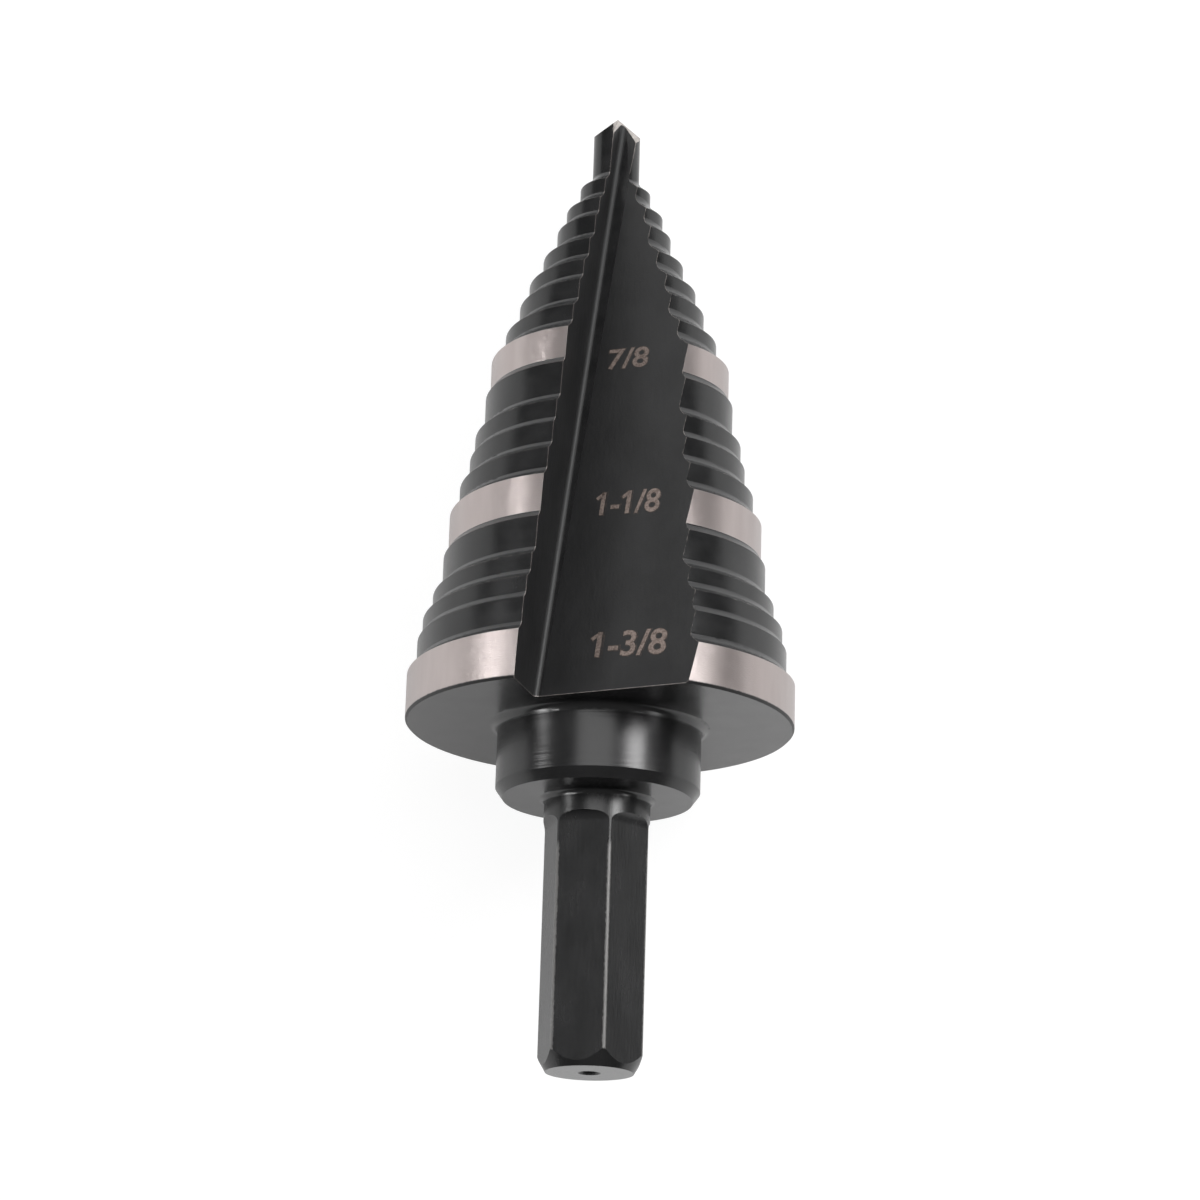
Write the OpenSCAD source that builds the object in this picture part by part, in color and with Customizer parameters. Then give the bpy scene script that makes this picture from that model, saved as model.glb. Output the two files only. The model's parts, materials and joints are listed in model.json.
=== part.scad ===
// Step drill with a split point, three bright guide bands, two leaning straight flutes and a hex shank.
// The drill is built upright, tip up, with the back of its largest step at height zero.
// A last move lays it down on the edges of its rear flute, which is how it comes to rest.

/* [Point] */
// Diameter of the pilot tip, 3/16 inch
tip_d = 4.76; // [4.2:0.02:5.4]
// Length of the pilot tip above the first step
tip_len = 6.1; // [4.5:0.1:8]
// Angle of the point
point_angle = 118; // [108:1:126]
// Angle at which the flat flank falls away behind the lip
lip_clearance = 36.5; // [30:0.5:42]
// Angle between the heel facet's normal and the drill's axis
heel_facet_angle = 56; // [50:1:60]
// Turn of the heel facet about the drill's axis
heel_facet_turn = 53; // [50:1:56]
// How far the lip leans back, seen from the tip
lip_lean = 10.5; // [8:0.5:13]
// Half of the short chisel edge that is left between the two lips
half_chisel = 0.06; // [0.04:0.01:0.1]

/* [Steps] */
// Length of the first run of steps, tip to first guide band
run_1_len = 17.6; // [15:0.1:24]
// Length of the second run of steps
run_2_len = 11.5; // [9.5:0.1:16]
// Length of the third run of steps
run_3_len = 11.1; // [9.2:0.1:16]
// Radius of the arc at the root of each bevel
bevel_root_r = 1.6; // [1.2:0.05:1.8]
// Angle of the bevels to the drill's axis, at their lower edge
bevel_angle = 52; // [48:1:60]

/* [Guide bands] */
// Diameter of the first guide band, 7/8 inch
band_1_d = 22.225; // [20.6:0.025:24]
// Diameter of the second guide band, 1-1/8 inch
band_2_d = 28.575; // [27:0.025:30.2]
// Diameter of the third guide band, 1-3/8 inch
band_3_d = 34.925; // [33.4:0.025:38]
// Length of the first guide band
band_1_len = 3.5; // [3:0.1:6]
// Length of the second guide band
band_2_len = 4; // [3:0.1:6]
// Length of the third guide band
band_3_len = 4.4; // [3.6:0.1:8]
// Chamfer on the back edge of the third guide band
back_chamfer = 0.2; // [0.1:0.05:0.5]

/* [Relief] */
// How far off centre the smallest steps are ground, which lets the lands fall away behind the edge
land_relief = 0.345; // [0.1:0.005:0.45]
// How far off centre the pilot tip is ground
tip_relief = 0.22; // [0.1:0.01:0.35]
// Tilt of the bevels at the tip, which lets them fall away behind the edge
bevel_tilt_tip = 2.8; // [1.5:0.1:3.5]
// Tilt of the bevel above the third guide band
bevel_tilt_back = 1.1; // [0.5:0.1:2]

/* [Flutes] */
// Distance of the flute's root in front of the axis, at the back of the drill
root_depth = 9.76; // [9.4:0.02:10.4]
// Distance of the flute's root to the side of the axis, at the back of the drill
root_side = 5.79; // [5.2:0.01:6.2]
// Distance of the flute's root behind the axis, at the point
tip_root_depth = 0.12; // [-0.2:0.02:0.2]
// Distance of the flute's root to the other side of the axis, at the point
tip_root_side = 0.49; // [0.3:0.01:0.6]
// Angle of the cutting face, from straight ahead
cutting_face_angle = 15.7; // [12:0.1:18]
// Angle of the wide face, from straight ahead
wide_face_angle = 64.8; // [61:0.1:68]
// Radius of the arc at the root of the flute
flute_root_r = 0.5; // [0.4:0.05:0.6]

/* [Collar] */
// Diameter of the collar
collar_d = 18.3; // [15:0.1:19.5]
// Length of the collar
collar_len = 6.7; // [4:0.1:12]
// Length of the chamfer at the end of the collar
collar_chamfer_len = 0.9; // [0.4:0.1:1.5]
// Depth of the chamfer at the end of the collar
collar_chamfer_depth = 0.65; // [0.3:0.05:1]
// Radius of the fillet between the collar and the back of the drill
collar_fillet = 0.8; // [0.3:0.1:1]

/* [Shank] */
// Diameter of the round bar that the hex is ground on, 3/8 inch
bar_d = 9.5; // [8:0.05:10.5]
// Length of the bar beyond the collar
bar_len = 24.4; // [20:0.1:40]
// Share of the bar's diameter that is left across the flats
flat_share = 0.875; // [0.87:0.005:0.95]
// Length of round bar between the collar and the full depth of the flats
flat_start = 2.8; // [2.4:0.1:6]
// Radius of the arc in which the flats run out
run_out_r = 1; // [0.8:0.1:2]
// Turn of the hex about the drill's axis
hex_turn = 15.5; // [0:0.5:60]
// Depth of the chamfer at the end of the shank
end_chamfer_depth = 0.85; // [0.5:0.05:1.2]
// Angle of the chamfer at the end of the shank to the axis
end_chamfer_angle = 30; // [20:1:45]
// Radius of the fillet between the shank and the collar
neck_fillet = 0.5; // [0.2:0.1:0.8]

/* [Centre hole] */
// Diameter of the centre hole in the end of the shank
centre_d = 1.65; // [1:0.05:2.5]
// Depth of the centre hole
centre_depth = 2.4; // [1.5:0.1:5]
// Width of the chamfer round the centre hole
centre_chamfer = 0.2; // [0.1:0.05:0.5]

/* [Hidden] */
oxide = "#2c2c2e";
bright = "#b3a9a6";
overlap = 1;
reach = 40;
tilt_cover = 2;
cone_cover = 8;
arc_sink = 0.08;
arc_bite = 0.01;
seam_turn = 40;

// Shares of each run in which the diameter grows and the height drops, step by step, from the tip down
growth_1 = [3, 3, 2, 3, 3, 2, 3, 3];
pitch_1 = [2.4, 2.1, 2.8, 2.6, 2.2, 2.9, 2.6];
growth_2 = [1, 2, 1, 2, 2];
pitch_2 = [3.9, 2.2, 2.7, 2.7];
growth_3 = [1, 2, 2, 1, 2];
pitch_3 = [3.7, 2.3, 2, 3.1];

function total(shares, count) = count == 0 ? 0 : shares[count - 1] + total(shares, count - 1);
function part_of(shares, count) = total(shares, count) / total(shares, len(shares));

// Heights of the cutting corners at the top of each run
band_1_top = band_3_len + run_3_len + band_2_len + run_2_len + band_1_len;
band_2_top = band_3_len + run_3_len + band_2_len;
run_1_top = band_1_top + run_1_len;
run_2_top = band_2_top + run_2_len;
run_3_top = band_3_len + run_3_len;
corner_z = run_1_top + tip_len;
apex_z = corner_z + tip_d / 2 / tan(point_angle / 2);

// Diameters and corner heights of one run of steps, its guide band last
function run(top_d, band_d, growth, top_z, length, pitch) = [
  for (i = [1:len(growth)])
    [top_d + (band_d - top_d) * part_of(growth, i), top_z - length * part_of(pitch, i - 1)]
];
steps = concat(
  [[tip_d, corner_z]],
  run(tip_d, band_1_d, growth_1, run_1_top, run_1_len, pitch_1),
  run(band_1_d, band_2_d, growth_2, run_2_top, run_2_len, pitch_2),
  run(band_2_d, band_3_d, growth_3, run_3_top, run_3_len, pitch_3)
);
last = len(steps) - 1;
band_steps = [len(growth_1), len(growth_1) + len(growth_2), last];

// How far from the tip's size to the largest size a step is, from 1 down to 0
function smallness(d) = (band_3_d - d) / (band_3_d - tip_d);
function off_centre(i) = i == 0 ? tip_relief : land_relief * smallness(steps[i][0]);
function tilt(i) = bevel_tilt_back + (bevel_tilt_tip - bevel_tilt_back) * smallness(steps[i][0]);

// The cutting edge lies this far round from straight ahead, where each land is highest
edge_turn = 25;
function land_r(i) = steps[i][0] / 2 - off_centre(i) * cos(edge_turn);
function pivot_z(i) = steps[i][1] - cos(edge_turn) * steps[i][0] / 2 * tan(tilt(i));
function foot_z(i) = i == last ? 0 : steps[i + 1][1] - overlap;

// The flute's root is a straight line that leans in towards the axis and drifts sideways
root_slope = [root_side + tip_root_side, root_depth + tip_root_depth] / apex_z;
function root_at(z) = [-root_side, -root_depth] + z * root_slope;
root_drift = atan(root_slope[0]);
root_lean = atan(root_slope[1] * cos(root_drift));

// Point on a land, reached from the root along a face of the flute
function along(root, dir, centre, r) =
  let (q = root - centre, b = q * dir)
  root + dir * (-b + sqrt(b * b - q * q + r * r));
function level_dir(turn) =
  let (v = [sin(turn) / cos(root_drift), -cos(turn) / cos(root_lean)])
  v / norm(v);
cutting_dir = level_dir(-cutting_face_angle);
wide_dir = level_dir(wide_face_angle);

// Corners of the rear flute, on its cutting edge and on its heel edge
function edge_corner(i) =
  let (z = steps[i][1], p = along(root_at(z), cutting_dir, [0, -off_centre(i)], land_r(i)))
  [-p[0], -p[1], z];
function heel_corner(i) =
  let (z = pivot_z(i) - cos(edge_turn) * steps[i][0] / 2 * tan(tilt(i)))
  let (p = along(root_at(z), wide_dir, [0, off_centre(i)], land_r(i)))
  [-p[0], -p[1], z];

// Three points that touch the table: two on the largest step and the outermost cutting corner above it
rear_edge = edge_corner(last);
rear_heel = heel_corner(last);
function slope_to(i) = (rear_edge[1] - edge_corner(i)[1]) / (edge_corner(i)[2] - rear_edge[2]);
slopes = [for (i = [1:last - 1]) slope_to(i)];
touching = [for (i = [1:last - 1]) if (slope_to(i) == min(slopes)) i][0];
front_edge = edge_corner(touching);

// Turn about the axis and tilt of the axis that bring the three points level
across = cross(rear_heel - rear_edge, front_edge - rear_edge);
down = across / norm(across) * sign(across[1]);
rest_turn = atan2(down[0], down[1]);
rest_tilt = asin(down[2]);
rest_height = down * rear_edge;

// Half of the drill's length along the table, which puts the origin below the middle
shank_z = -collar_len - bar_len;
end_r = bar_d / 2 - end_chamfer_depth;
middle = ((apex_z + shank_z) * cos(rest_tilt) - end_r * sin(rest_tilt)) / 2;

// A ring's worth of material for a concave corner of the given radius, as a flat outline
module corner_fill(r) {
  difference() {
    square(r);
    translate([r, 0]) circle(r = r, $fn = 60);
  }
}

// Everything below a bevel: a cone that runs into a concave arc, which ends inside the land above
module below_bevel(land_above_r, outer_r) {
  inner_r = land_above_r - arc_sink;
  arc_run = bevel_root_r * (1 - cos(bevel_angle));
  step = outer_r - inner_r;
  cone_rise = bevel_root_r * sin(bevel_angle) + (step - arc_run) / tan(bevel_angle);
  arc_rise = bevel_root_r * sin(acos(max(0, 1 - step / bevel_root_r)));
  rise = step > arc_run ? cone_rise : arc_rise;
  centre = [inner_r + bevel_root_r, rise];
  normal = [cos(bevel_angle), sin(bevel_angle)];
  foot = centre - bevel_root_r * normal;
  outer = foot + cone_cover * [normal[1], -normal[0]];
  rotate_extrude($fn = 120) difference() {
    polygon([[0, -reach], [outer[0], -reach], outer, foot, centre, [0, rise]]);
    translate(centre - arc_bite * normal) circle(r = bevel_root_r, $fn = 60);
  }
}

// One land with its bevel, ground off centre and tilted, as on the side to the left of the front flute
module relieved_step(i) {
  cut_r = land_r(i);
  color(len(search(i, band_steps)) > 0 ? bright : oxide)
    intersection() {
      translate([0, -off_centre(i), foot_z(i)])
        cylinder(r = cut_r, h = steps[i][1] - foot_z(i) + tilt_cover, $fn = 120);
      translate([0, -off_centre(i), pivot_z(i)]) rotate([-tilt(i), 0, 0])
        rotate([0, 0, seam_turn]) below_bevel(land_r(i - 1), cut_r);
    }
}

module relieved_tip() {
  color(oxide)
    translate([0, -off_centre(0), foot_z(0)])
      cylinder(r = land_r(0), h = apex_z - foot_z(0) + overlap, $fn = 120);
}

// Space to the left of the two roots, which the left side's lands fill
module left_space() {
  for (back = [0, 1])
    translate([(back * 2 - 1) * root_side, 0, 0]) rotate([0, root_drift * (1 - back * 2), 0])
      translate([-2 * reach, back ? 0 : -reach, -reach])
        cube([2 * reach, reach, 3 * reach]);
}

module cutting_side() {
  intersection() {
    union() {
      relieved_tip();
      for (i = [1:last]) relieved_step(i);
    }
    left_space();
  }
}

// V-shaped flute with a round root, open at the front
module flute() {
  half = (cutting_face_angle + wide_face_angle) / 2;
  middle_turn = wide_face_angle - half;
  centre_out = flute_root_r / sin(half);
  touch = flute_root_r / tan(half);
  translate([-root_side, -root_depth, 0])
    rotate([-root_lean, root_drift, 0])
      rotate([0, 0, middle_turn])
        translate([0, 0, -reach / 4])
          linear_extrude(height = 2.5 * reach) {
            translate([0, -centre_out]) circle(r = flute_root_r, $fn = 60);
            polygon([
              touch * [-sin(half), -cos(half)],
              reach * [-sin(half), -cos(half)],
              reach * [sin(half), -cos(half)],
              touch * [sin(half), -cos(half)],
              [0, -centre_out]
            ]);
          }
}

// Everything above a flank, the flat face that falls from the apex along the lip and away behind it
module above_flank() {
  fall = 1 / tan(point_angle / 2) * [-sin(lip_lean), -cos(lip_lean)]
    + tan(lip_clearance) * [-cos(lip_lean), sin(lip_lean)];
  translate([0, 0, apex_z]) rotate([0, atan(norm(fall)), atan2(fall[1], fall[0])])
    translate([-tip_d, -tip_d, 0]) cube([2 * tip_d, 2 * tip_d, tip_d]);
}

// Notch that splits the point: one face is the heel facet, the other trues up the lip
module point_notch() {
  intersection() {
    rotate([0, 0, -lip_lean]) translate([half_chisel, -tip_d, corner_z - tip_len / 2])
      cube([tip_d, 2 * tip_d, tip_len]);
    translate([0, -half_chisel, apex_z]) rotate([0, heel_facet_angle, -heel_facet_turn])
      translate([-tip_d, -tip_d, 0]) cube([2 * tip_d, 2 * tip_d, tip_d]);
  }
}

module back_edge_chamfer() {
  r = band_3_d / 2 - back_chamfer;
  rotate_extrude($fn = 120)
    polygon([[r, 0], [r + overlap, overlap], [r + overlap, -overlap], [r, -overlap]]);
}

module collar() {
  r = collar_d / 2;
  color(oxide)
    rotate_extrude($fn = 120) {
      polygon([
        [0, 0], [r, 0], [r, collar_chamfer_len - collar_len],
        [r - collar_chamfer_depth, -collar_len], [0, -collar_len]
      ]);
      translate([r, -collar_fillet]) corner_fill(collar_fillet);
      translate([bar_d / 2, -collar_len - neck_fillet]) corner_fill(neck_fillet);
    }
}

// One flat, with the arc in which the grinding wheel ran out
module flat_cut() {
  translate([bar_d / 2 * flat_share, reach / 2, -collar_len - flat_start])
    rotate([90, 0, 0])
      linear_extrude(height = reach) {
        translate([0, -bar_len]) square([2 * run_out_r, bar_len]);
        translate([run_out_r, 0]) circle(r = run_out_r, $fn = 60);
      }
}

module centre_hole() {
  mouth_r = centre_d / 2 + centre_chamfer;
  rotate_extrude($fn = 60)
    polygon([
      [0, -overlap], [mouth_r, -overlap], [mouth_r, 0], [centre_d / 2, centre_chamfer],
      [centre_d / 2, centre_depth], [0, centre_depth + centre_d / 2 * tan(30)]
    ]);
}

module shank() {
  rise = 2 * overlap / tan(end_chamfer_angle);
  color(oxide)
    difference() {
      translate([0, 0, shank_z]) cylinder(d = bar_d, h = bar_len + overlap, $fn = 120);
      for (i = [0:5]) rotate([0, 0, 270 - hex_turn + 60 * i]) flat_cut();
      translate([0, 0, shank_z]) {
        rotate_extrude($fn = 120)
          polygon([
            [end_r, 0], [end_r + 2 * overlap, rise], [end_r + 2 * overlap, -overlap], [end_r, -overlap]
          ]);
        centre_hole();
      }
    }
}

module cutting_head() {
  difference() {
    for (side = [0, 180]) rotate([0, 0, side]) cutting_side();
    for (side = [0, 180]) rotate([0, 0, side]) {
      flute();
      above_flank();
      point_notch();
    }
    back_edge_chamfer();
  }
}

module step_drill() {
  translate([0, -middle, rest_height])
    rotate([-90 - rest_tilt, 0, 0])
      rotate([0, 0, rest_turn]) {
        cutting_head();
        collar();
        shank();
      }
}

step_drill();
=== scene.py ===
# %% [markdown]
# # A step drill
# A step drill is ground from one bar of tool steel: a stepped cone with two flutes, a collar and a hex shank.
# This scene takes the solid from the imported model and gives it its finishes, its size marks, a table and
# lights. The solid is loaded first, because every other place in the scene is measured from it.

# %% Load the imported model
import json
import math

import bpy
from mathutils import Matrix, Vector, kdtree

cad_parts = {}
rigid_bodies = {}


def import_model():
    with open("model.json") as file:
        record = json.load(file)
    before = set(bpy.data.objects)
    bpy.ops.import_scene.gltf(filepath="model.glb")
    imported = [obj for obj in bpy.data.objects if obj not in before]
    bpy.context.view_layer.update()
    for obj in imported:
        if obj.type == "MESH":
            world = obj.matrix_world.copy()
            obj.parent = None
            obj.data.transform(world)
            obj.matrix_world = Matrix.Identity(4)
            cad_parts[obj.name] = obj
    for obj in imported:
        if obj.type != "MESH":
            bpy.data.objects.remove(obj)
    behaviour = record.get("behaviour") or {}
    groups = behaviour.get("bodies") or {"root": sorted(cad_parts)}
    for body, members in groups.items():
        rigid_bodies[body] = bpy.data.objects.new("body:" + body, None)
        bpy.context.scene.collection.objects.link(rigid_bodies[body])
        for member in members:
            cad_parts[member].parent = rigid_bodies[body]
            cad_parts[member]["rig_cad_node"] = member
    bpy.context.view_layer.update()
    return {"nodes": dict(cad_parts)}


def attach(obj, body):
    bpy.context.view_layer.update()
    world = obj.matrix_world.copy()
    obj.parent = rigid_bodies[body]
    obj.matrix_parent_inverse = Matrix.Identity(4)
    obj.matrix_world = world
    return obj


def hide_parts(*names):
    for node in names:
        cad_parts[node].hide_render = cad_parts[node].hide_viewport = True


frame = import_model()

MM = 0.001

# %% [markdown]
# ## The drill's own frame
# The drill lies on the cutting edge and the heel of its largest step and on the cutting edge of its second
# bright band, so it is turned a little about its axis and slopes down to its point. Its finishes follow its
# own axis and are worked out in an upright frame: z up the axis, from the back of the largest step to the
# point, and the flute with the size marks in front, at minus y. One matrix leads from there to the table.

# %% From the upright frame to the table
REST_TURN = math.radians(-1.8649)
REST_TILT = math.radians(10.0762)
REST_HEIGHT = 16.1755 * MM
REST_MIDDLE = 13.7038 * MM
POINT_HEIGHT = 59.6 * MM

drill_to_table = (
    Matrix.Translation((0, -REST_MIDDLE, REST_HEIGHT))
    @ Matrix.Rotation(-math.pi / 2 - REST_TILT, 4, "X")
    @ Matrix.Rotation(REST_TURN, 4, "Z")
)
table_to_drill = drill_to_table.inverted()
point_on_table = drill_to_table @ Vector((0, 0, POINT_HEIGHT))
print("the point lies at", [round(v / MM, 1) for v in point_on_table], "mm")

# %% [markdown]
# ## The camera
# The photograph was taken with a long lens from close by, looking down on the marked flute, so the shank's
# end looks larger than the point. The place, the turn and the lens come from the drill's known diameters in
# the picture.

# %% Place the camera
CAMERA_PLACE = (-0.010323, -0.041933, 0.333463)
CAMERA_TURN = [math.radians(angle) for angle in (7.0811, -2.0514, 2.0476)]
SENSOR_WIDTH = 36
LENS = 106.57

bpy.ops.object.select_all(action="DESELECT")
bpy.ops.object.camera_add(location=CAMERA_PLACE, rotation=CAMERA_TURN)
camera = bpy.context.object
camera.name = "photo_camera"
camera.data.sensor_width = SENSOR_WIDTH
camera.data.lens = LENS
camera.data.clip_start = 10 * MM
bpy.context.scene.camera = camera
print("camera", round(camera.location.length / MM), "mm from the middle of the table")

# %% [markdown]
# ## Shader maths as expressions
# A finish is a small sum: a mask times a colour, a noise plus a slope. Wires make such sums hard to read, so
# a socket is wrapped in a class whose operators add the Math nodes. Every other node comes from one method.

# %% A wrapped socket
class Value:
    def __init__(self, finish, socket):
        self.finish = finish
        self.socket = socket

    def math(self, operation, first, second):
        return self.finish.node("ShaderNodeMath", {"operation": operation}, {0: first, 1: second})

    def __add__(self, other):
        return self.math("ADD", self, other)

    def __radd__(self, other):
        return self.math("ADD", other, self)

    def __sub__(self, other):
        return self.math("SUBTRACT", self, other)

    def __rsub__(self, other):
        return self.math("SUBTRACT", other, self)

    def __mul__(self, other):
        return self.math("MULTIPLY", self, other)

    def __rmul__(self, other):
        return self.math("MULTIPLY", other, self)


# %% [markdown]
# ## What the finishes share
# All the finishes need the same few things. Places are in the drill's own millimetres, up the axis and off
# it. A noise is given how often it changes in a millimetre along x, y and z, so that it can be stretched
# along the marks a tool leaves. A step goes softly from 0 at its first limit to 1 at its second, and falls
# where the second is the lower one. Sharp edges come from the Bevel node: near an edge its rounded normal
# leans away from the true one. The edge mask stands partly for oxide worn off the edges and partly for a
# painted highlight, the bright line that a slightly rounded edge would catch.

# %% A finish and its helpers
class Finish:
    def __init__(self, name):
        self.material = bpy.data.materials.new(name)
        self.material.use_nodes = True
        self.tree = self.material.node_tree
        self.tree.nodes.clear()

    def node(self, kind, settings, inputs, output=0):
        made = self.tree.nodes.new(kind)
        for name, value in settings.items():
            setattr(made, name, value)
        for name, value in inputs.items():
            if isinstance(value, Value):
                self.tree.links.new(value.socket, made.inputs[name])
            else:
                made.inputs[name].default_value = value
        return Value(self, made.outputs[output]) if made.outputs else made

    def drill_place(self):
        on_table = self.node("ShaderNodeTexCoord", {}, {}, output="Object")
        lie = {
            "Vector": on_table,
            "Location": drill_to_table.translation,
            "Rotation": drill_to_table.to_euler(),
            "Scale": (MM, MM, MM),
        }
        return self.node("ShaderNodeMapping", {"vector_type": "TEXTURE"}, lie)

    def up_axis(self, place):
        return self.node("ShaderNodeSeparateXYZ", {}, {0: place}, output="Z")

    def off_axis(self, place):
        across = self.node("ShaderNodeVectorMath", {"operation": "MULTIPLY"}, {0: place, 1: (1, 1, 0)})
        return self.node("ShaderNodeVectorMath", {"operation": "LENGTH"}, {0: across}, output="Value")

    def noise(self, place, stretch, detail=3.0, roughness=0.55):
        stretched = self.node("ShaderNodeVectorMath", {"operation": "MULTIPLY"}, {0: place, 1: stretch})
        sockets = {"Vector": stretched, "Scale": 1.0, "Detail": detail, "Roughness": roughness}
        return self.node("ShaderNodeTexNoise", {}, sockets)

    def step(self, value, first, second):
        sockets = {"Value": value, "From Min": first, "From Max": second}
        return self.node("ShaderNodeMapRange", {"interpolation_type": "SMOOTHSTEP"}, sockets)

    def mix(self, factor, first, second):
        sockets = {0: factor, 6: first, 7: second}
        return self.node("ShaderNodeMix", {"data_type": "RGBA"}, sockets, output=2)

    def edge(self, width):
        rounded = self.node("ShaderNodeBevel", {"samples": 8}, {"Radius": width * MM})
        true = self.node("ShaderNodeNewGeometry", {}, {}, output="Normal")
        both = {0: rounded, 1: true}
        return 1 - self.node("ShaderNodeVectorMath", {"operation": "DOT_PRODUCT"}, both, output="Value")

    def surface(self, colour, metallic, roughness, height, depth, ior=1.55):
        bump = {"Height": height, "Distance": depth * MM, "Strength": 1.0}
        sockets = {
            "Base Color": colour,
            "Metallic": metallic,
            "Roughness": roughness,
            "IOR": ior,
            "Normal": self.node("ShaderNodeBump", {}, bump),
        }
        shader = self.node("ShaderNodeBsdfPrincipled", {}, sockets)
        self.node("ShaderNodeOutputMaterial", {}, {"Surface": shader})
        print(self.material.name, "has", len(self.tree.nodes), "nodes")


# %% [markdown]
# ## The colours
# Every face of the drill is either blackened or bare, so the finishes share a few colours: the oxide where it
# is thick and where it is thin, and the steel under it, which is a little warm.

# %% Colours of the oxide and the steel
OXIDE_DARK = (0.007, 0.0072, 0.0075, 1)
OXIDE_PALE = (0.014, 0.014, 0.0145, 1)
BARE_STEEL = (0.47, 0.425, 0.405, 1)
print("oxide", OXIDE_DARK[:3], "to", OXIDE_PALE[:3], "on steel", BARE_STEEL[:3])

# %% [markdown]
# ## The black lands
# The lands and their bevels are ground round the drill and then blackened. The wheel leaves fine rings, so
# the noise is stretched round the axis: it changes quickly along z and slowly across. The oxide is uneven.
# Along the cutting edges the edge mask, cut up into nicks by a coarser noise, turns the oxide to bright bare
# steel: partly oxide worn off, partly a painted highlight of the edges.

# %% Finish of the lands
# Edge mask in nicks: partly worn oxide, partly a painted highlight along the edges.
def nicked_and_highlit_edge(finish, place, speck, first, second):
    nicks = finish.noise(place, (2.2, 2.2, 2.2), detail=1.0)
    return finish.step(finish.edge(0.2) * 3 + nicks * 0.8 + speck * 0.15, first, second)


lands = Finish("land_oxide")
place = lands.drill_place()
rings = lands.noise(place, (0.15, 0.15, 4.0))
cloud = lands.noise(place, (0.3, 0.3, 0.45))
speck = lands.noise(place, (5.0, 5.0, 5.0), detail=2.0)
worn_and_highlit = nicked_and_highlit_edge(lands, place, speck, 0.88, 0.95)
oxide = lands.mix(lands.step(cloud + speck * 0.3, 0.45, 0.85), OXIDE_DARK, OXIDE_PALE)
lands.surface(
    colour=lands.mix(worn_and_highlit, oxide, BARE_STEEL),
    metallic=worn_and_highlit,
    roughness=0.15 + cloud * 0.12 + rings * 0.05,
    height=rings + speck * 0.25,
    depth=0.006,
    ior=1.48,
)

# %% [markdown]
# ## The bright bands
# The three marked steps are ground bright after blackening, so that their sizes can be found at work. Fine
# grinding rings run round the steel and tilt its surface up and down the drill, which draws a lamp's
# reflection out into an upright line. The colour and the polish come and go in patches along the band, and
# along the back edge of the largest step a thin dark line of oxide is left.

# %% Finish of the bands
BACK_EDGE = (0.42, 0.3)

bands = Finish("band_steel")
place = bands.drill_place()
rings = bands.noise(place, (2.5, 2.5, 30.0), detail=0.0)
patch = bands.noise(place, (0.55, 0.55, 0.12), detail=3.0)
speck = bands.noise(place, (7.0, 7.0, 7.0), detail=2.0)
back_edge = bands.step(bands.up_axis(place) + speck * 0.2, *BACK_EDGE)
# Paler steel along the edges: partly rubbed, partly a painted highlight of the edges.
worn_and_highlit = bands.step(bands.edge(0.13) + speck * 0.3, 0.3, 0.42)
warm = bands.mix(patch, (0.40, 0.345, 0.335, 1), (0.54, 0.485, 0.47, 1))
rubbed_and_highlit = bands.mix(worn_and_highlit, warm, (0.75, 0.73, 0.72, 1))
bands.surface(
    colour=bands.mix(back_edge, rubbed_and_highlit, OXIDE_PALE),
    metallic=1 - back_edge,
    roughness=0.28 + patch * 0.06,
    height=rings + speck * 0.05,
    depth=0.01,
)

# %% [markdown]
# ## The flutes
# A flute is ground along the drill, so its lines run along it: the noise changes quickly across and slowly
# along z. The cutting edges and the back edge are bare and bright in a thin broken line, with the same nicks
# as on the lands: partly rubbed oxide, partly a painted highlight of the edges.

# %% Finish of the flutes
flutes = Finish("flute_oxide")
place = flutes.drill_place()
lines = flutes.noise(place, (3.0, 3.0, 0.3), detail=3.0)
cloud = flutes.noise(place, (0.25, 0.25, 0.15))
speck = flutes.noise(place, (6.0, 6.0, 6.0), detail=2.0)
worn_and_highlit = nicked_and_highlit_edge(flutes, place, speck, 0.9, 0.97)
thin = flutes.step(cloud + speck * 0.2, 0.4, 0.8)
oxide = flutes.mix(thin, (0.008, 0.008, 0.0085, 1), (0.013, 0.013, 0.0135, 1))
flutes.surface(
    colour=flutes.mix(worn_and_highlit, oxide, BARE_STEEL),
    metallic=worn_and_highlit,
    roughness=0.32 + cloud * 0.1 + lines * 0.14,
    height=lines + speck * 0.4,
    depth=0.012,
    ior=1.5,
)

# %% [markdown]
# ## Turned faces
# The back of the largest step, the collar, its fillet and the neck are turned on a lathe. A turning tool
# leaves rings on a flat face as well, so the noise runs on the distance from the axis and on the height along
# it, and is the same all the way round.

# %% Finish of the turned faces
turned = Finish("turned_oxide")
place = turned.drill_place()
across_and_up = {0: turned.off_axis(place), 1: turned.up_axis(place), 2: 0.0}
lathe = turned.node("ShaderNodeCombineXYZ", {}, across_and_up)
rings = turned.noise(lathe, (6.0, 6.0, 1.0), detail=3.0)
cloud = turned.noise(place, (0.3, 0.3, 0.3))
speck = turned.noise(place, (6.0, 6.0, 6.0), detail=2.0)
# Bare steel along the edges: partly worn oxide, partly a painted highlight of the edges.
worn_and_highlit = turned.step(turned.edge(0.12) + cloud * 0.3 + speck * 0.25, 0.5, 0.62)
oxide = turned.mix(turned.step(cloud + speck * 0.3, 0.4, 0.85), OXIDE_DARK, OXIDE_PALE)
turned.surface(
    colour=turned.mix(worn_and_highlit, oxide, BARE_STEEL),
    metallic=worn_and_highlit,
    roughness=0.14 + cloud * 0.1 + rings * 0.1,
    height=rings + speck * 0.15,
    depth=0.012,
)

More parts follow.
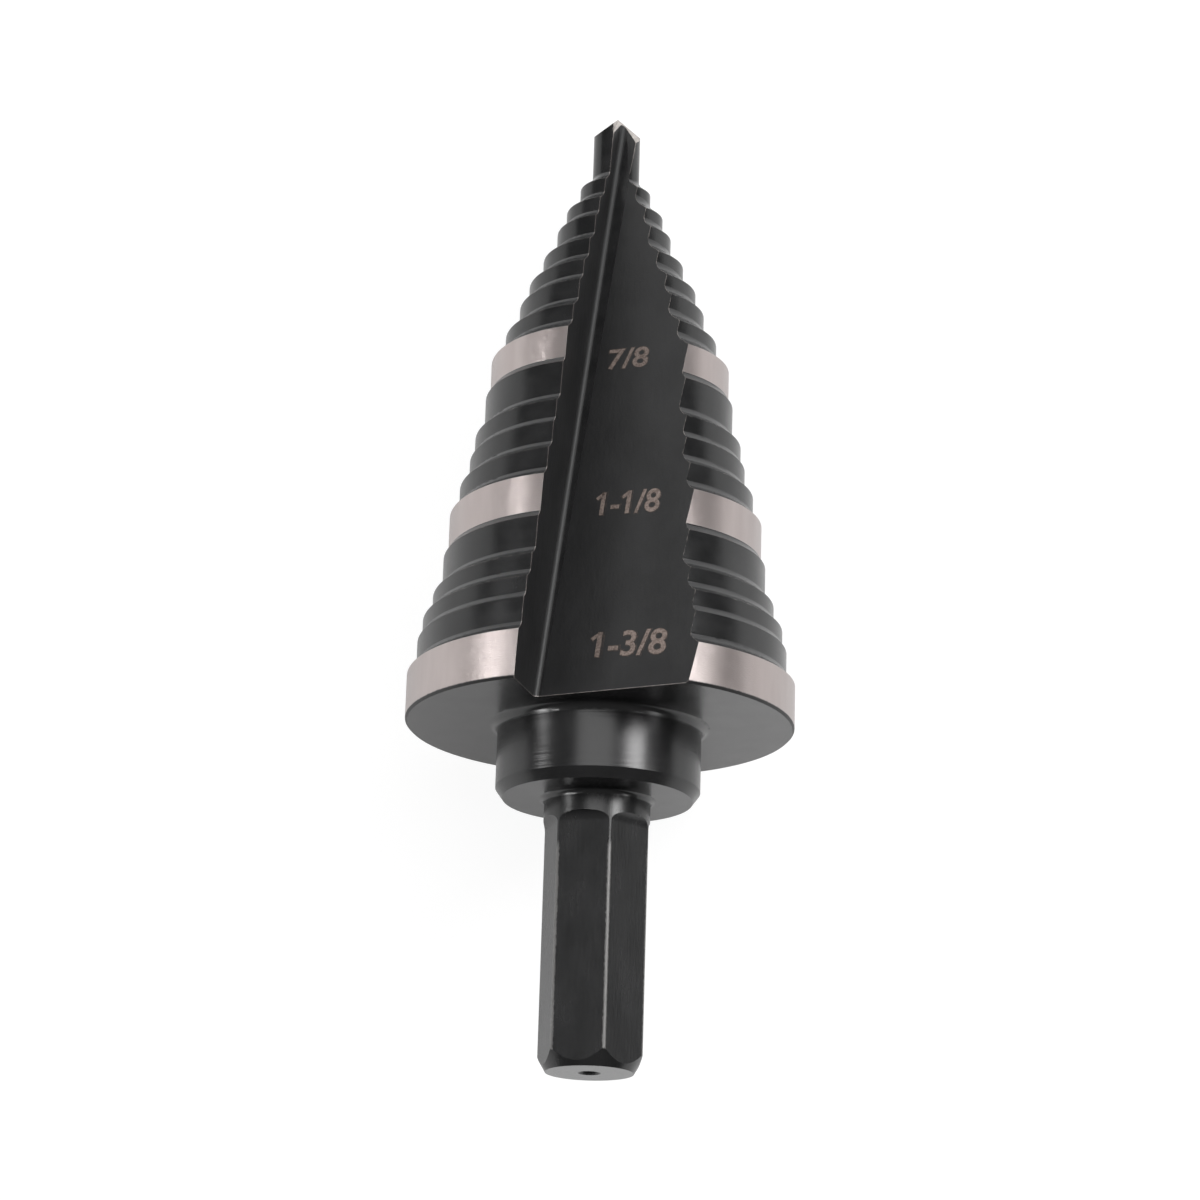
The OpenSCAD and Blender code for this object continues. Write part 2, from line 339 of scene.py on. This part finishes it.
# %% [markdown]
# ## The hex shank
# The flats are milled along the bar, and the six narrow corners between them keep the bar's round skin.
# Those corners are made bare steel in a thin mottled line, partly rubbed by a chuck's jaws and partly a
# painted highlight that brightens the lamp's line along them: it is found by its distance from the axis,
# and it starts below the round part under the neck. The other edges are bare too, partly worn and partly a
# painted highlight.

# %% Finish of the shank
SHANK_SKIN = (4.74, 4.8)
RUBBED_BELOW = (-11.0, -12.0)

shank = Finish("shank_oxide")
place = shank.drill_place()
lines = shank.noise(place, (3.5, 3.5, 0.6), detail=3.0)
cloud = shank.noise(place, (0.4, 0.4, 0.2))
speck = shank.noise(place, (6.0, 6.0, 4.0), detail=2.0)
# Corner line: partly rubbed steel, partly a painted highlight of the lamp's line along the corners.
corners = shank.step(shank.off_axis(place) + speck * 0.12, *SHANK_SKIN)
rubbed_and_highlit = corners * shank.step(shank.up_axis(place), *RUBBED_BELOW) * 0.3
worn_and_highlit = shank.step(shank.edge(0.12) + cloud * 0.25 + speck * 0.3, 0.48, 0.6) + rubbed_and_highlit
oxide = shank.mix(shank.step(cloud + speck * 0.3, 0.4, 0.85), OXIDE_DARK, OXIDE_PALE)
shank.surface(
    colour=shank.mix(worn_and_highlit, oxide, (0.5, 0.49, 0.48, 1)),
    metallic=worn_and_highlit,
    roughness=0.18 + cloud * 0.1 + lines * 0.06,
    height=lines + speck * 0.4,
    depth=0.006,
)

# %% [markdown]
# ## The shank's end
# The bar's end is faced on the lathe and only thinly blackened, so it looks greyer than the flats, with fine
# rings round the centre hole.

# %% Finish of the shank's end
end = Finish("end_oxide")
place = end.drill_place()
lathe = end.node("ShaderNodeCombineXYZ", {}, {0: end.off_axis(place)})
rings = end.noise(lathe, (4.5, 1.0, 1.0), detail=2.0)
speck = end.noise(place, (5.0, 5.0, 5.0), detail=2.0)
thin = end.step(rings + speck * 0.5, 0.5, 1.0)
end.surface(
    colour=end.mix(thin, (0.03, 0.03, 0.031, 1), (0.06, 0.06, 0.061, 1)),
    metallic=0.0,
    roughness=0.16 + rings * 0.1,
    height=rings + speck * 0.2,
    depth=0.004,
)

# %% [markdown]
# ## The bare point
# The point is ground last of all, so its small faces are bare steel with a coarse grain.

# %% Finish of the point
point = Finish("point_steel")
place = point.drill_place()
grain = point.noise(place, (2.0, 5.0, 9.0), detail=4.0)
patch = point.noise(place, (1.2, 1.2, 1.2), detail=2.0)
clean = point.step(grain + patch * 0.5, 0.5, 1.0)
point.surface(
    colour=point.mix(clean, (0.36, 0.33, 0.31, 1), (0.62, 0.58, 0.55, 1)),
    metallic=1 - point.step(patch, 0.62, 0.72) * 0.4,
    roughness=0.28 + grain * 0.25,
    height=grain,
    depth=0.01,
)

# %% [markdown]
# ## The drill's surface
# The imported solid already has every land, bevel and flute, so it isn't modelled again. A copy is merged into
# one closed skin and stands in for it.

# %% Copy the solid and merge it
WELD = 1e-6

drill = frame["nodes"]["step_drill"]
bpy.ops.object.select_all(action="DESELECT")
drill.select_set(True)
bpy.context.view_layer.objects.active = drill
bpy.ops.object.duplicate()
body = bpy.context.object
body.name = "ground_drill"
del body["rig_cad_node"]
bpy.ops.object.mode_set(mode="EDIT")
bpy.ops.mesh.select_all(action="SELECT")
bpy.ops.mesh.remove_doubles(threshold=WELD)
bpy.ops.object.mode_set(mode="OBJECT")
print("faces", len(body.data.polygons), "corners", len(body.data.vertices))

# %% [markdown]
# Merging drops the exact normals that came with the solid, and a shaded curve needs them. So each corner of
# the copy takes its normal back from the nearest corner of the solid. Both are looked for a little inside
# their own face, because several faces meet at one corner, each with a normal of its own.

# %% Find the exact normals
INSIDE = 0.02


def corner_spots(mesh):
    for face in mesh.polygons:
        for index in face.loop_indices:
            corner = mesh.vertices[mesh.loops[index].vertex_index].co
            yield index, corner.lerp(face.center, INSIDE)


kept_normals = kdtree.KDTree(len(drill.data.loops))
for index, spot in corner_spots(drill.data):
    kept_normals.insert(spot, index)
kept_normals.balance()

normals = [None] * len(body.data.loops)
for index, spot in corner_spots(body.data):
    found = kept_normals.find(spot)[1]
    normals[index] = drill.data.corner_normals[found].vector.copy()
print("corners with a normal:", len(normals))

# %% [markdown]
# ## Which face is what
# In the upright frame a face's height and normal tell what it is. Below the back of the largest step come the
# turned faces, the shank and its end. Above it, a land looks straight away from the axis, a bevel looks up
# towards the point, and what is left is flute. At the very top, the flanks and the notch are the bare point.

# %% Sort the faces
END_BELOW = -31
SHANK_BELOW = -7.2
TURNED_BELOW = 0.01
POINT_ABOVE = 55
FLANK_UP = 0.5
BEVEL_UP = 0.25
LAND_OUT = 0.95
NOTCH_NORMAL = Vector((0.984, -0.177, 0))
SAME_WAY = 0.999


def kind_of(face):
    middle = table_to_drill @ face.center / MM
    normal = table_to_drill.to_3x3() @ face.normal
    outward = normal.dot(Vector((middle.x, middle.y, 0)).normalized())
    if middle.z < END_BELOW:
        return "end"
    if middle.z < SHANK_BELOW:
        return "shank"
    if middle.z < TURNED_BELOW:
        return "turned"
    in_notch = abs(normal.dot(NOTCH_NORMAL)) > SAME_WAY
    if middle.z > POINT_ABOVE and (normal.z > FLANK_UP or in_notch):
        return "point"
    if normal.z > BEVEL_UP:
        return "bevel"
    return "land" if outward > LAND_OUT else "flute"


kinds = [kind_of(face) for face in body.data.polygons]
print({kind: kinds.count(kind) for kind in sorted(set(kinds))})

# %% [markdown]
# A bright band is one whole land, and the first two take in the small bevel under them. A land is a patch of
# faces that touch, so each patch is gathered from face to face, and its mean height tells which land it is.

# %% Gather the patches and find the bands
BAND_SPANS = [(31.0, 34.5), (15.5, 19.5), (0.0, 4.4)]

faces_at = {}
for face in body.data.polygons:
    for vertex in face.vertices:
        faces_at.setdefault(vertex, []).append(face.index)

reached = set()


def patch_from(start):
    reached.add(start)
    gathered = []
    to_visit = [start]
    while to_visit:
        face = body.data.polygons[to_visit.pop()]
        gathered.append(face)
        for vertex in face.vertices:
            for near in faces_at[vertex]:
                if near not in reached and kinds[near] == kinds[start]:
                    reached.add(near)
                    to_visit.append(near)
    return gathered


for start in range(len(kinds)):
    if kinds[start] not in ("land", "bevel") or start in reached:
        continue
    gathered = patch_from(start)
    area = sum(face.area for face in gathered)
    height = sum((table_to_drill @ face.center).z * face.area for face in gathered) / area / MM
    if any(low < height < high for low, high in BAND_SPANS):
        for face in gathered:
            kinds[face.index] = "band"
print("bright faces:", kinds.count("band"))

# %% Give each face its finish
FINISH_OF = {
    "land": lands,
    "bevel": lands,
    "band": bands,
    "flute": flutes,
    "turned": turned,
    "shank": shank,
    "end": end,
    "point": point,
}
finishes = list(dict.fromkeys(FINISH_OF.values()))
body.data.materials.clear()
for finish in finishes:
    body.data.materials.append(finish.material)
for face, kind in zip(body.data.polygons, kinds):
    face.material_index = finishes.index(FINISH_OF[kind])
print("finishes on the drill:", len(finishes))

# %% [markdown]
# ## Soft tops on the bevels
# On the real drill each bevel runs out of the land above it without a line, because the wheel's corner is
# round. So the bevel's upper corners take the land's normal, and its shading starts where the land's ends.

# %% Soften the bevels' tops
LAND_UP = 0.05
NEARLY_SAME_WAY = 0.9
up_the_drill = drill_to_table.to_3x3() @ Vector((0, 0, 1))

land_normals = {}
for face in body.data.polygons:
    if kinds[face.index] in ("land", "band") and abs(face.normal.dot(up_the_drill)) < LAND_UP:
        for index in face.loop_indices:
            vertex = body.data.loops[index].vertex_index
            if (body.data.vertices[vertex].co - face.center).dot(up_the_drill) < 0:
                land_normals[vertex] = normals[index]

softened = 0
for face in body.data.polygons:
    if kinds[face.index] in ("bevel", "band") and face.normal.dot(up_the_drill) > BEVEL_UP:
        for index in face.loop_indices:
            above = land_normals.get(body.data.loops[index].vertex_index)
            if above is not None and above.dot(normals[index]) > NEARLY_SAME_WAY:
                normals[index] = above
                softened += 1
body.data.normals_split_custom_set(normals)
print("bevel corners softened:", softened)

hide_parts("step_drill")
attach(body, "root")

# %% [markdown]
# ## The size marks
# The flute carries the sizes of the three bright bands, in inches, burnt into the oxide so that the pale
# steel shows through. Each is a text made into a thin mesh and fitted to its measured width and height, and a
# wider, thinner copy under it is the brown scorch round the letters.

# %% Finishes of the marks
etched = Finish("etched_mark")
place = etched.drill_place()
grain = etched.noise(place, (6.0, 6.0, 6.0), detail=4.0, roughness=0.7)
blot = etched.noise(place, (2.0, 2.0, 2.0), detail=1.0)
clean = etched.step(grain + blot * 0.3, 0.5, 0.75)
etched.surface(
    colour=etched.mix(clean, (0.105, 0.078, 0.066, 1), (0.235, 0.185, 0.162, 1)),
    metallic=0.3,
    roughness=0.45 + grain * 0.3,
    height=grain,
    depth=0.01,
)

scorch = Finish("scorched_rim")
place = scorch.drill_place()
grain = scorch.noise(place, (4.0, 4.0, 4.0), detail=3.0)
brown = scorch.step(grain, 0.4, 0.65)
scorch.surface(
    colour=scorch.mix(brown, (0.010, 0.009, 0.0085, 1), (0.034, 0.024, 0.02, 1)),
    metallic=0.0,
    roughness=0.3 + grain * 0.2,
    height=grain,
    depth=0.004,
)

# %% [markdown]
# The lettering has a flag on each 1, which the font's 1 lacks. So the text is split into its strokes, which
# come in the order of its letters when they are sorted from left to right, and a small turned bar is joined
# to each 1. These sizes are in the font's own units, where a line of text is about 1 high.

# %% A helper that puts a flag on each 1
FLAG_TURN = math.radians(38)
FLAG_LENGTH = 0.24
FLAG_HEIGHT = 0.07
FLAG_LEFT = 0.035
FLAG_DOWN = 0.1
FONT_THICKNESS = 0.05
FONT_WELD = 1e-5


def flag_the_ones(mark, words, bold):
    bpy.ops.object.mode_set(mode="EDIT")
    bpy.ops.mesh.select_all(action="SELECT")
    bpy.ops.mesh.remove_doubles(threshold=FONT_WELD)
    bpy.ops.mesh.separate(type="LOOSE")
    bpy.ops.object.mode_set(mode="OBJECT")
    strokes = list(bpy.context.selected_objects)
    strokes.sort(key=lambda stroke: min(vertex.co.x for vertex in stroke.data.vertices))
    for letter, stroke in zip(words, strokes):
        if letter != "1":
            continue
        left = min(vertex.co.x for vertex in stroke.data.vertices)
        top = max(vertex.co.y for vertex in stroke.data.vertices)
        bpy.ops.mesh.primitive_cube_add(size=1)
        flag = bpy.context.object
        turn = Matrix.Rotation(FLAG_TURN, 4, "Z")
        spot = Matrix.Translation((left - FLAG_LEFT, top - FLAG_DOWN - bold, 0))
        size = (FLAG_LENGTH + 2 * bold, FLAG_HEIGHT + 2 * bold, 2 * FONT_THICKNESS, 1)
        flag.matrix_world = spot @ turn @ Matrix.Diagonal(size)
        bpy.ops.object.transform_apply(location=True, rotation=True, scale=True)
        strokes.append(flag)
    bpy.ops.object.select_all(action="DESELECT")
    for stroke in strokes:
        stroke.select_set(True)
    bpy.context.view_layer.objects.active = mark
    bpy.ops.object.join()


# %% [markdown]
# A mark lies on the flute's wide face, a little turned on it. In the upright frame the face is given by its
# normal and its distance from the frame's origin, and a mark's middle by how far it lies to the right and up
# on the face. The mesh is stretched to its size and moved there by one matrix, which is then applied.

# %% A helper that sets one mark
FACE_NORMAL = Vector((-0.40803, -0.89279, 0.19090))
FACE_OUT = 11.0761
MARK_TURN = math.radians(-2.3)
CURVE_STEPS = 5
MARK_WELD = 1e-7
face_up = (Vector((0, 0, 1)) - FACE_NORMAL * FACE_NORMAL.z).normalized()
face_right = face_up.cross(FACE_NORMAL)


def add_mark(name, words, middle, size, thick, bold, finish):
    bpy.ops.object.select_all(action="DESELECT")
    bpy.ops.object.text_add()
    text = bpy.context.object.data
    text.body = words
    text.offset = bold
    text.extrude = FONT_THICKNESS
    text.resolution_u = CURVE_STEPS
    bpy.ops.object.convert(target="MESH")
    mark = bpy.context.object
    mark.name = name
    flag_the_ones(mark, words, bold)

    corners = [vertex.co for vertex in mark.data.vertices]
    low = Vector([min(corner[i] for corner in corners) for i in range(3)])
    high = Vector([max(corner[i] for corner in corners) for i in range(3)])
    along = face_right * math.cos(MARK_TURN) + face_up * math.sin(MARK_TURN)
    turned_up = Matrix((along, FACE_NORMAL.cross(along), FACE_NORMAL)).transposed().to_4x4()
    wanted = Vector((size[0], size[1], thick)) * MM
    grown = Matrix.Diagonal([wanted[i] / (high[i] - low[i]) for i in range(3)] + [1])
    spot = (FACE_NORMAL * FACE_OUT + face_right * middle[0] + face_up * middle[1]) * MM
    to_spot = drill_to_table @ Matrix.Translation(spot)
    mark.matrix_world = to_spot @ turned_up @ grown @ Matrix.Translation((low + high) / -2)
    bpy.ops.object.transform_apply(location=True, rotation=True, scale=True)

    bpy.ops.object.mode_set(mode="EDIT")
    bpy.ops.mesh.select_all(action="SELECT")
    bpy.ops.mesh.remove_doubles(threshold=MARK_WELD)
    bpy.ops.mesh.normals_make_consistent(inside=False)
    bpy.ops.object.mode_set(mode="OBJECT")
    mark.data.materials.clear()
    mark.data.materials.append(finish.material)
    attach(mark, "root")
    print(name, "has", len(mark.data.polygons), "faces")


# %% Set the three marks
# Each mark: its words, its middle on the face, its width and height
MARKS = {
    "size_7_8": ("7/8", (3.97, 31.72), (4.0, 2.15)),
    "size_1_1_8": ("1-1/8", (5.59, 16.51), (6.3, 2.35)),
    "size_1_3_8": ("1-3/8", (7.23, 2.28), (7.3, 2.5)),
}
MARK_THICKNESS = 0.03
MARK_BOLD = 0.015
SCORCH_RIM = 0.11
SCORCH_THICKNESS = 0.015
SCORCH_BOLD = 0.05

for name, (words, middle, size) in MARKS.items():
    add_mark(name, words, middle, size, MARK_THICKNESS, MARK_BOLD, etched)
    wider = [length + 2 * SCORCH_RIM for length in size]
    add_mark(name + "_scorch", words, middle, wider, SCORCH_THICKNESS, SCORCH_BOLD, scorch)

# %% [markdown]
# ## The table
# The photograph's ground is plain white. A white diffuse floor keeps the drill's soft shadow, and a share of
# even light is mixed in for what the camera sees, so that the floor reaches white without more light on the
# drill. The steel's reflections get only a little of it, because the back of the largest step mirrors the
# drill's own shadow.

# %% Lay the table
TABLE_SIZE = 4
PAPER_WHITE = (0.9, 0.9, 0.9, 1)
LIGHT_WHITE = (1, 1, 1, 1)
EVEN_LIGHT = 1.16
EVEN_SHARE_SEEN = 0.75
EVEN_SHARE_MIRRORED = 0.2

bpy.ops.object.select_all(action="DESELECT")
bpy.ops.mesh.primitive_plane_add(size=TABLE_SIZE)
table_top = bpy.context.object
table_top.name = "table_top"
paper = Finish("white_paper")
is_camera = paper.node("ShaderNodeLightPath", {}, {}, output="Is Camera Ray")
is_glossy = paper.node("ShaderNodeLightPath", {}, {}, output="Is Glossy Ray")
is_through = paper.node("ShaderNodeLightPath", {}, {}, output="Is Transmission Ray")
diffuse = paper.node("ShaderNodeBsdfDiffuse", {}, {"Color": PAPER_WHITE})
even = paper.node("ShaderNodeEmission", {}, {"Color": LIGHT_WHITE, "Strength": EVEN_LIGHT})
seen = (is_camera + is_through) * EVEN_SHARE_SEEN + is_glossy * EVEN_SHARE_MIRRORED
mixed = paper.node("ShaderNodeMixShader", {}, {0: seen, 1: diffuse, 2: even})
paper.node("ShaderNodeOutputMaterial", {}, {"Surface": mixed})
table_top.data.materials.append(paper.material)
print("table", [round(v, 1) for v in table_top.dimensions], "m")

# %% [markdown]
# ## The studio round the drill
# Polished black steel shows what is round it more than its own colour. In the photograph the bevels, which
# look towards the point, are pale, and the lands, which look up and sideways, are dark: so the room is bright
# low down beyond the point, more so to the right, dim at the sides and a little brighter overhead. The camera
# itself sees plain white behind the table.

# %% Light the room
ROOM_LIGHT = 0.1
CEILING_LIGHT = 0.14
CEILING_EDGE = (0.1, 0.9)
WINDOW_LIGHT = 2.8
WINDOW_EDGE = (0.59, 0.8)
WINDOW_DROP = 0.4

room = bpy.data.worlds.new("studio")
bpy.context.scene.world = room
room.use_nodes = True
room.node_tree.nodes.clear()


class Room(Finish):
    def __init__(self, world):
        self.material = world
        self.tree = world.node_tree


studio = Room(room)
way = studio.node("ShaderNodeTexCoord", {}, {}, output="Generated")
across = studio.node("ShaderNodeSeparateXYZ", {}, {0: way}, output="X")
beyond = studio.node("ShaderNodeSeparateXYZ", {}, {0: way}, output="Y")
upward = studio.node("ShaderNodeSeparateXYZ", {}, {0: way}, output="Z")
window = studio.step(beyond - upward * WINDOW_DROP, *WINDOW_EDGE) * (WINDOW_LIGHT + across)
glow = ROOM_LIGHT + studio.step(upward, *CEILING_EDGE) * CEILING_LIGHT + window
seen = studio.node("ShaderNodeLightPath", {}, {}, output="Is Camera Ray")
lit = studio.node("ShaderNodeBackground", {}, {"Color": LIGHT_WHITE, "Strength": glow})
white = studio.node("ShaderNodeBackground", {}, {"Color": LIGHT_WHITE, "Strength": 1.0})
shown = studio.node("ShaderNodeMixShader", {}, {0: seen, 1: lit, 2: white})
studio.node("ShaderNodeOutputWorld", {}, {"Surface": shown})
print("the room has", len(studio.tree.nodes), "nodes")

# %% [markdown]
# ## The lamps
# Two low boxes beside the drill make the upright lines of light on the bright bands: only the bands' grinding
# rings scatter their light towards the camera, so the smooth black lands beside them stay dark. A box high on
# the right makes the bright lines in the flute's root, on the collar and on the corner of the shank, and a
# broad dim panel overhead gives the collar its grey. A lamp's energy is worked out from how bright its face
# should look beside white.

# %% Hang the lamps
LAMP_AIM = Vector((0, 0, 0.015))


def lamp(name, place, size, brightness):
    way = (Vector(place) - LAMP_AIM).normalized()
    turn = way.to_track_quat("Z", "Y").to_euler()
    bpy.ops.object.light_add(type="AREA", location=place, rotation=turn)
    made = bpy.context.object
    made.name = name
    made.data.shape = "RECTANGLE"
    made.data.size, made.data.size_y = size
    made.data.energy = brightness * math.pi * size[0] * size[1]
    print(name, "energy", round(made.data.energy, 2), "W")


lamp("left_box", place=(-0.56, -0.02, 0.255), size=(0.34, 0.1), brightness=14.0)
lamp("right_box", place=(0.56, -0.02, 0.34), size=(0.34, 0.1), brightness=4.5)
lamp("top_right_box", place=(0.33, 0.25, 0.42), size=(0.32, 0.17), brightness=11.0)
lamp("top_panel", place=(-0.06, 0.25, 0.55), size=(0.42, 0.3), brightness=2.0)
bpy.context.scene.view_settings.view_transform = "Standard"
